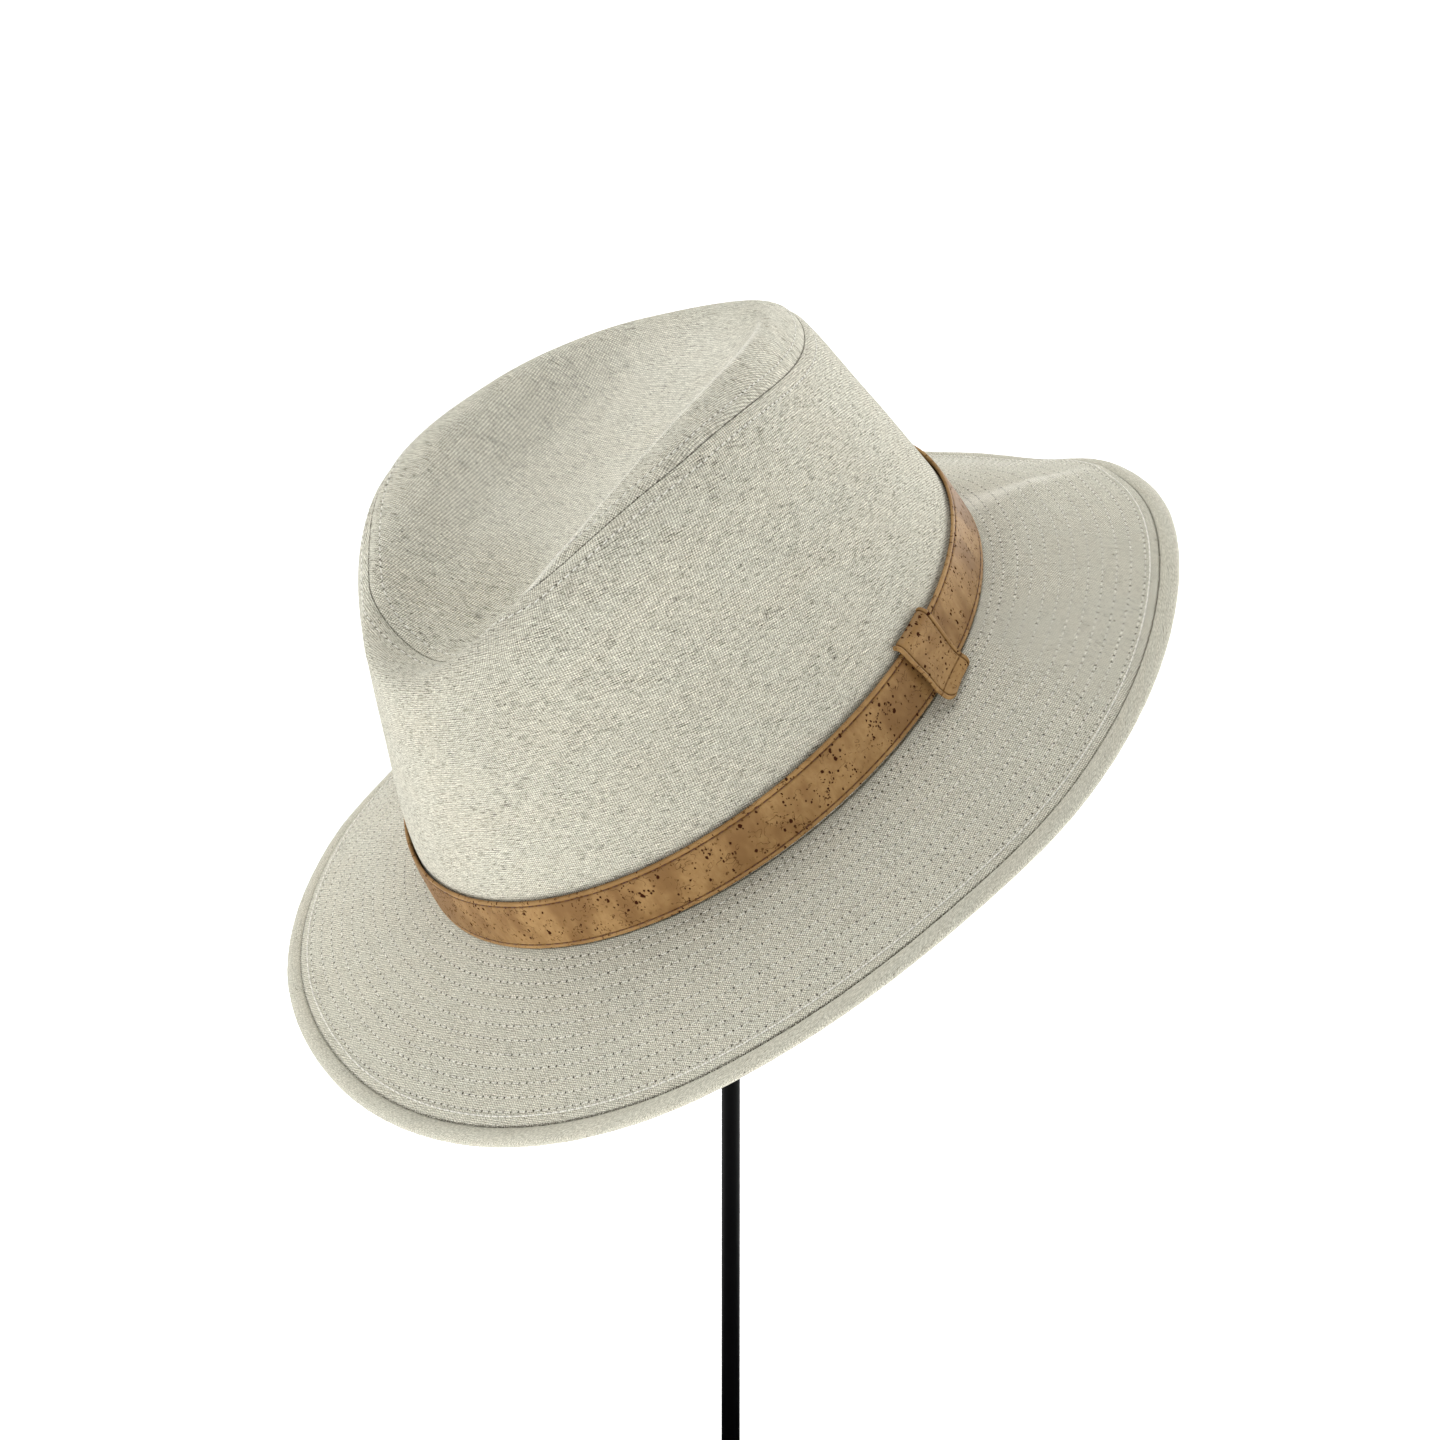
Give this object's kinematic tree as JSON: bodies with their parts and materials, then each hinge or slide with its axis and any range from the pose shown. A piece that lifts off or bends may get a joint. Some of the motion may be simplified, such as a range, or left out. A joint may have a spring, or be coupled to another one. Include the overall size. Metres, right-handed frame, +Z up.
{
  "type": "safari hat on display stand",
  "caption": "Cloth safari hat with a pinched teardrop crown, a stitched sloping brim and a cork band, held tipped forward on a thin pole with a round base.",
  "frame": {"origin": "middle of the stand base's underside, on the axis of the pole", "axes": "+Z up along the pole, -Y to the hat's front, +X to the wearer's left"},
  "size_m": [0.2671, 0.2541, 0.363],
  "materials": {
    "linen": "matte heathered linen and cotton canvas, ecru with grey flecks",
    "cork": "satin cork skin, brown with dark pores",
    "black_paint": "satin black paint"
  },
  "bodies": {
    "root": {"crown_side_left": "linen", "crown_side_right": "linen", "crown_tip": "linen", "brim": "linen", "brim_binding": "linen", "hat_band": "cork", "band_keeper": "cork", "stand_post": "black_paint", "stand_base": "black_paint"}
  },
  "joints": []
}
